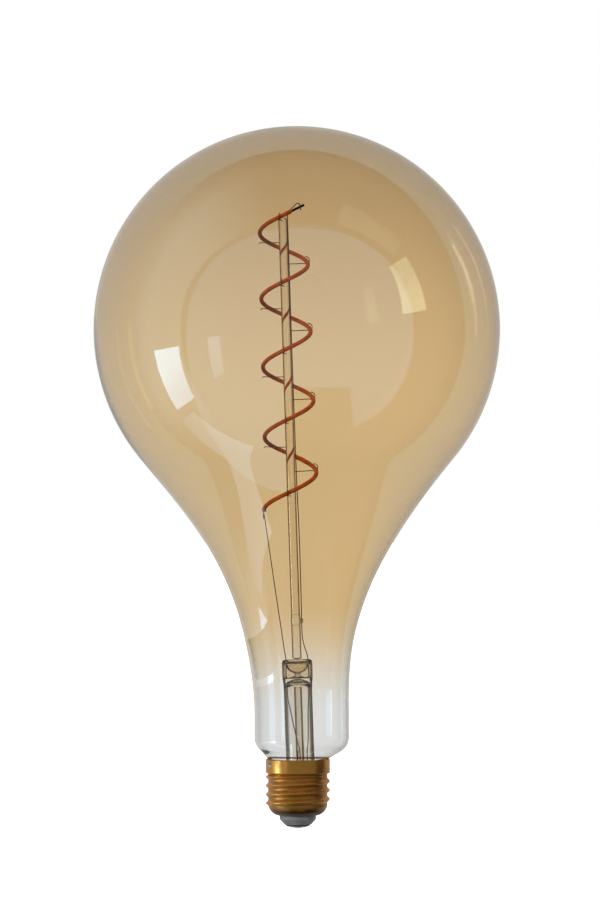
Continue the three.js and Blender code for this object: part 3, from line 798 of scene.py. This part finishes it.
def cap_outline():
    """The shell from the hole in its floor to its rim, before the thread is rolled."""
    dish = bezier((7.75, 4.95), (10.9, 5.45), (ROOT_RADIUS, THREAD_START), count=16)
    rows = 90
    climb = (THREAD_END - THREAD_START) / rows
    thread = [Vector((ROOT_RADIUS, THREAD_START + climb * (row + 1))) for row in range(rows)]
    band = [(CREST_RADIUS, BAND), (CREST_RADIUS, RIM - 0.25), (CREST_RADIUS - 0.1, RIM)]
    return [*dish, *thread, *rounded([thread[-1], *band], 0.35)[1:]]


points, faces = turned(walled(cap_outline(), SHEET), segments=160)
for point in points:
    radius_now = math.hypot(point.x, point.y)
    grown = radius_now + thread_height(math.atan2(point.y, point.x), point.z)
    point.x *= grown / radius_now
    point.y *= grown / radius_now
add_piece("rolled_shell", (points, faces), brass, ["cap_shell"])
print(f"the shell has {len(faces)} faces")

# %% [markdown]
# Below the shell sits the insulator, a moulded cone with a flange inside, and under it the domed
# contact, riveted through the middle and closed with solder. The solder's flat is the lowest point
# of the lamp. A second spot of solder at the rim joins the other lead to the shell.

# %% Close the cap
cone = [(1.7, 1.25), (5.4, 1.25), (7.45, 3.5), (7.45, 5.4)]
flange = [(8.2, 5.6), (8.2, 6.9), (7.4, 6.9), (3.2, 4.2), (1.7, 4.2)]
dome = [(1.1, 0.75), (1.95, 0.75), (2.1, 0.3), (3.4, 0.38), (4.5, 0.7), (5.08, 1.05)]
rivet = [(4.9, 1.2), (1.6, 1.15), (1.6, 4.9), (1.1, 4.9)]
insulator_shape = turned(rounded([*cone, *flange], 0.35))
contact_shape = turned(rounded([*dome, *rivet], 0.25))
pad = [(0, 0), (1.3, 0), (1.75, 0.12), (1.92, 0.35), (1.6, 0.7), (0, 0.7)]
ring = [(11.3, 23), (12.6, 23), (12.6, 26.5), (12.2, 27.1), (11.3, 26.8)]
add_piece("moulded_insulator", insulator_shape, insulator, ["cap_insulator"])
add_piece("stamped_contact", contact_shape, brass, ["centre_contact"])
add_piece("contact_solder", turned(rounded(pad, 0.2)), tin_solder, ["centre_solder"])
add_piece("cement_ring", turned(rounded(ring, 0.3)), cement, ["basing_cement"])

SOLDER_ANGLE = math.radians(208)
SOLDER_DEEP, SOLDER_WIDE, SOLDER_TALL = 0.6, 1.1, 1.3


def rim_solder():
    """A drop that lies over the rim, from the outside of the band to its inside."""
    points, faces = turned(arc((0, 0), 1, -math.pi / 2, math.pi / 2, count=24), segments=36)
    for point in points:
        lump = 1 + 0.14 * math.sin(5 * point.x + 3 * point.z) * math.cos(4 * point.y)
        point.x = point.x * SOLDER_DEEP * lump
        point.y = point.y * SOLDER_WIDE * lump
        point.z = point.z * SOLDER_TALL * lump
        point.x += 12.9 - 0.3 * max(point.z, 0)
        point.z += 25.9
    return points, faces


at_the_rim = Matrix.Rotation(SOLDER_ANGLE, 4, "Z")
add_piece("rim_solder", rim_solder(), tin_solder, ["side_solder"], at_the_rim)

# %% [markdown]
# ## What the cap hides
# The driver and the radio are closed in by the brass and can't be seen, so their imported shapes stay
# as they are. They still get real finishes, because the parts may be shown apart one day.

# %% Finish the hidden pieces
hidden = {
    "neutral_wire": nickel_wire,
    "live_wire": nickel_wire,
    "fusible_resistor": lacquer,
    "driver_board": board_mask,
    "driver_chip": black_epoxy,
    "bridge_rectifier": black_epoxy,
    "smoothing_capacitor": sleeve,
    "inductor_core": ferrite,
    "inductor_winding": copper_wire,
    "wireless_board": board_mask,
    "wireless_shield": shield_metal,
    "radio_chip": black_epoxy,
    "board_pin_1": brass,
    "board_pin_2": brass,
    "board_pin_3": brass,
}
for node, finish in hidden.items():
    nodes[node].data.materials.clear()
    nodes[node].data.materials.append(finish.material)
shown = [name for name, node in nodes.items() if not node.hide_render]
print(f"{len(shown)} packed nodes stay as they are: {', '.join(sorted(shown))}")

# %% [markdown]
# ## The studio
# Glass is lit by what it mirrors and by what is seen through it. The backdrop is white. What the
# glass lets through is a little darker than the backdrop itself, which makes clear glass readable.
# The sky tells the rays apart with a Light Path node. That is a property of the studio and leaves
# the lamp's finishes alone.

# %% Tell the rays apart
studio = bpy.data.worlds.new("studio")
scene.world = studio
sky = Tree(studio)
across, away, above = sky.axes(sky.node("TexCoord", output="Generated"))
SEEN_THROUGH = 0.82


def glow_tree(name):
    """A new material without its usual shader, and the tree that will fill it."""
    glow = bpy.data.materials.new(name)
    tree = Tree(glow)
    tree.nodes.remove(tree.nodes["Principled BSDF"])
    return glow, tree


def show(tree, shader):
    """Makes a shader the one that a material shows."""
    tree.feed(tree.nodes["Material Output"].inputs["Surface"], shader)


def after_a_mirror(tree):
    """One for light that has been mirrored at least once on its way, else nought."""
    reflections = tree.node("LightPath", output="Glossy Depth")
    return tree.node("Math", {"operation": "GREATER_THAN"}, {0: reflections, 1: 0.5})


print("rays are told apart")

# %% [markdown]
# A round glass mirrors the whole room. Behind the camera stands a large white wall, behind the lamp
# the backdrop, and between them the room is dark on the right and bright on the left. Both walls
# are written as a rounded rectangle of directions: how far a direction lies across and up, against
# how far it goes forward. That is what a flat wall looks like from the lamp. Light that was
# mirrored inside the globe is dimmed and made amber, and matt pieces get a plain, soft daylight.

# %% Build the mirrored room
ROOM_RIGHT, ROOM_LEFT = 0.07, 1.6
WALL, BACKDROP_LEFT, BACKDROP_RIGHT = 0.37, 0.71, 0.55
DAYLIGHT = 0.75
COOL, WARM, AMBER_GLOW = (0.54, 0.82, 1.0), (0.98, 0.92, 0.84), (0.86, 0.76, 0.60)
DIMMED_INSIDE = 0.58


def either(share, first, second):
    """A number between two numbers."""
    return sky.node("Mix", {"data_type": "FLOAT"}, {0: share, 2: first, 3: second})


def flat_wall(forward, half_width, height, depth, corner):
    """One inside the outline of a wall at distance one, nought outside; corner 2 makes it round."""
    wide = across * (1 / half_width)
    tall = sky.node("Math", {"operation": "MAXIMUM"}, {0: above * (1 / height), 1: above * (-1 / depth)})
    size = ((wide * wide) ** (corner / 2) + (tall * tall) ** (corner / 2)) ** (1 / corner)
    return sky.ramp(size - forward, -0.02, 0.02, 1.0, 0.0)


left_side = sky.ramp(across, -0.85, -0.1, 1.0, 0.0) * sky.ramp(above, -1.0, -0.3)
left_side = left_side * sky.ramp(away, 0.0, 0.36, 1.0, 0.46)
dark_floor = sky.ramp(above, -0.75, -0.45, 1.0, 0.0) * sky.ramp(across, -0.3, 0.0)
wall = flat_wall(away * -1, 2.6, 1.8, 4.0, 2.3)
backdrop = flat_wall(away, 2.6, 1.64, 6.0, 3.0)
wall_light = WALL * (1 - dark_floor * 0.6) + sky.ramp(across, -0.95, -0.35, 0.22, 0.0)
room = either(wall, ROOM_RIGHT + left_side * (ROOM_LEFT - ROOM_RIGHT), wall_light)
straight_behind = sky.ramp(away, 0.45, 0.93)
walls_passed = sky.node("LightPath", output="Transmission Depth")
side_light = sky.ramp(across, -0.8, 0.45, BACKDROP_LEFT, BACKDROP_RIGHT)
mirrored = either(backdrop, room, either(straight_behind, side_light + 0.06, side_light))
inside = sky.node("Math", {"operation": "GREATER_THAN"}, {0: walls_passed, 1: 2.5})
mirrored = mirrored * (1 - inside * DIMMED_INSIDE)
mirror_colour = sky.mix(inside, sky.mix(straight_behind, COOL, WARM), AMBER_GLOW)

is_camera = sky.node("LightPath", output="Is Camera Ray")
diffuse_depth = sky.node("LightPath", output="Diffuse Depth")
softened = sky.node("Math", {"operation": "GREATER_THAN"}, {0: diffuse_depth, 1: 0.5})
daylight = sky.ramp(above, -0.8, 0.5, 0.35, DAYLIGHT)
indoors = either(softened, either(after_a_mirror(sky), SEEN_THROUGH, mirrored), daylight)
background = sky.nodes["Background"].inputs
sky.feed(background["Strength"], either(is_camera, indoors, 1.0))
sky.feed(background["Color"], sky.mix(after_a_mirror(sky), (1.0, 1.0, 1.0), mirror_colour))
print("the mirrored room is in place")

# %% [markdown]
# The floor is pale and glows a little, so that it runs into the backdrop without a horizon. Only the
# camera sees it. The glass looks past it into the room, where some softboxes hang below the floor's
# level. Light that passes many walls of glass needs more bounces than a solid object, and the plain
# view transform keeps the white of the backdrop.

# %% Lay the floor
FLOOR_REACH = 8.0
floor_finish = Finish("floor", Roughness=0.7, Emission_Color=(1.0, 1.0, 1.0), Emission_Strength=0.8)
speckle = floor_finish.noise(40)
floor_finish.vary(Base_Color=floor_finish.mix(speckle, (0.90, 0.90, 0.89), (0.93, 0.93, 0.92)))


def panel(name, material, width, height):
    """A flat sheet that faces up."""
    x, y = width / 2, height / 2
    mesh = bpy.data.meshes.new(name)
    mesh.from_pydata([(-x, -y, 0), (x, -y, 0), (x, y, 0), (-x, y, 0)], [], [[0, 1, 2, 3]])
    mesh.materials.append(material)
    sheet = bpy.data.objects.new(name, mesh)
    scene.collection.objects.link(sheet)
    return sheet


floor = panel("floor", floor_finish.material, 2 * FLOOR_REACH, 2 * FLOOR_REACH)
floor.visible_transmission = floor.visible_glossy = floor.visible_diffuse = False
scene.view_settings.view_transform = "Standard"
scene.cycles.max_bounces = 24
scene.cycles.transmission_bounces = 24
scene.cycles.transparent_max_bounces = 16
print("the floor is laid")

# %% [markdown]
# Two kinds of lamps are used. Area lamps give the soft light on the solid pieces. Softboxes that
# only mirrors see draw the highlights: each is a glowing panel that shows up after at least one
# reflection, so it is never seen straight through the glass. The key box hangs on the left, low
# down, so that the neck and the lower globe mirror it. Below it lies a sheet that catches its spill
# and draws the long pale streak.

# %% Place the lamps


def area_lamp(name, place, target, size, power):
    data = bpy.data.lights.new(name, "AREA")
    data.shape, data.size, data.energy = "SQUARE", size, power
    lamp = bpy.data.objects.new(name, data)
    lamp.location = place
    lamp.rotation_euler = (Vector(target) - Vector(place)).to_track_quat("-Z", "Y").to_euler()
    lamp.visible_camera = lamp.visible_glossy = lamp.visible_transmission = False
    scene.collection.objects.link(lamp)


def softbox(name, place, target, width, height, strength, colour):
    glow, tree = glow_tree(name)
    shown = after_a_mirror(tree)
    along = tree.axes(tree.node("TexCoord", output="Generated"))[1]
    fading = tree.ramp(along, 0.0, 1.0, strength * 0.75, strength * 1.1)
    light = tree.node("Emission", sockets={"Color": colour, "Strength": fading})
    mixed = tree.node("MixShader", sockets={0: shown, 1: tree.node("BsdfTransparent"), 2: light})
    show(tree, mixed)
    sheet = panel(name, glow, width, height)
    sheet.location = place
    sheet.rotation_euler = (Vector(target) - Vector(place)).to_track_quat("Z", "Y").to_euler()
    sheet.visible_camera = sheet.visible_diffuse = sheet.visible_shadow = False


globe_centre = (0, 0, GLOBE_CENTRE * MM)
area_lamp("overhead", (-0.3, -0.3, 1.6), (0, 0, 0), 1.2, 15)
area_lamp("front_left", (-1.2, -1.4, 0.8), globe_centre, 0.9, 24)
FLASH, ROOM_WHITE = (0.42, 0.68, 1.0), (1.0, 0.95, 0.85)
softbox("key_box", (-0.95, -0.225, -0.19), (0, -0.225, -0.19), 0.31, 0.50, 9.0, FLASH)
softbox("spill_sheet", (-0.77, -0.16, -0.75), (-0.77, -0.16, 0), 0.84, 0.30, 2.0, FLASH)
softbox("second_box", (-0.95, -0.90, -0.14), (0, -0.90, -0.14), 0.22, 0.48, 2.4, FLASH)
softbox("far_strip", (0.88, 0.48, 0.42), globe_centre, 0.06, 0.50, 1.2, ROOM_WHITE)
softbox("farther_strip", (0.72, 0.70, 0.42), globe_centre, 0.04, 0.50, 0.8, ROOM_WHITE)
print("lamps are lit")

# %% [markdown]
# The neck is so curved that it would mirror the key box as one hard stripe. Small cards just beside
# the neck break it up: they let a share of the light through, and like the softboxes only mirrors
# see them.

# %% Hang the cards
CARD_DEPTH = 0.044
BESIDE_NECK = (-0.032, -0.014)


def card(name, low, high, passing):
    """A dark gauze beside the neck between two heights, that lets a share of the light pass."""
    gauze, tree = glow_tree(name)
    dimmed = tree.node("BsdfTransparent", sockets={"Color": (passing, passing, passing)})
    free = tree.node("BsdfTransparent")
    mixed = tree.node("MixShader", sockets={0: after_a_mirror(tree), 1: free, 2: dimmed})
    show(tree, mixed)
    sheet = panel(name, gauze, high - low, CARD_DEPTH)
    sheet.location = (*BESIDE_NECK, (low + high) / 2)
    sheet.rotation_euler = (0, math.pi / 2, 0)
    sheet.visible_camera = sheet.visible_diffuse = sheet.visible_shadow = False


card("low_card", 0.030, 0.0550, 0.25)
card("high_card", 0.0576, 0.0735, 0.10)
print("the cards beside the neck are hung")

# %% [markdown]
# One more card stands behind the lamp. It is pale, glows faintly blue, and is nearly round, with a notch cut
# up into its foot. Only light that has come through the glass sees it, and there its glow lifts the middle
# of the globe a little, behind the filament. It is made for the view from the front: from behind it shows as
# a faint disc.

# %% Stand the pale card behind the lamp
CARD_GLOW, CARD_COLOUR = 0.28, (0.12, 0.33, 1.0)
CARD_HALF_WIDTH, CARD_HALF_HEIGHT = 50, 46
CARD_SQUARENESS, CARD_DROOP = 2.2, 1.5
NOTCH_LEFT, NOTCH_RIGHT, NOTCH_TOP = -6, 22, -24
BEHIND_GLOBE = (0.001, 0.16, 0.204)


def card_outline(corners=240):
    """A rounded outline, longer at the lower left, with a notch in its foot."""
    outline = []
    for step in range(corners):
        angle = 2 * math.pi * step / corners
        spread = abs(math.cos(angle)) ** CARD_SQUARENESS + abs(math.sin(angle)) ** CARD_SQUARENESS
        stretch = spread ** (-1 / CARD_SQUARENESS)
        wide = CARD_HALF_WIDTH * stretch * math.cos(angle)
        tall = CARD_HALF_HEIGHT * stretch * math.sin(angle)
        if tall < 0 and wide < NOTCH_LEFT:
            tall *= CARD_DROOP
        if NOTCH_LEFT <= wide <= NOTCH_RIGHT:
            tall = max(tall, NOTCH_TOP)
        outline.append(Vector((wide, 0, tall)) * MM)
    return outline


card_glow, card_tree = glow_tree("pale_card")
glow = card_tree.node("Emission", sockets={"Color": CARD_COLOUR, "Strength": CARD_GLOW})
added = card_tree.node("AddShader", sockets={0: card_tree.node("BsdfTransparent"), 1: glow})
show(card_tree, added)
card_mesh = bpy.data.meshes.new("pale_card")
rim = card_outline()
card_mesh.from_pydata(rim, [], [list(range(len(rim)))])
card_mesh.materials.append(card_glow)
pale_card = bpy.data.objects.new("pale_card", card_mesh)
pale_card.location = BEHIND_GLOBE
pale_card.visible_camera = pale_card.visible_glossy = False
pale_card.visible_diffuse = pale_card.visible_shadow = False
scene.collection.objects.link(pale_card)
print(f"the card has {len(rim)} corners")
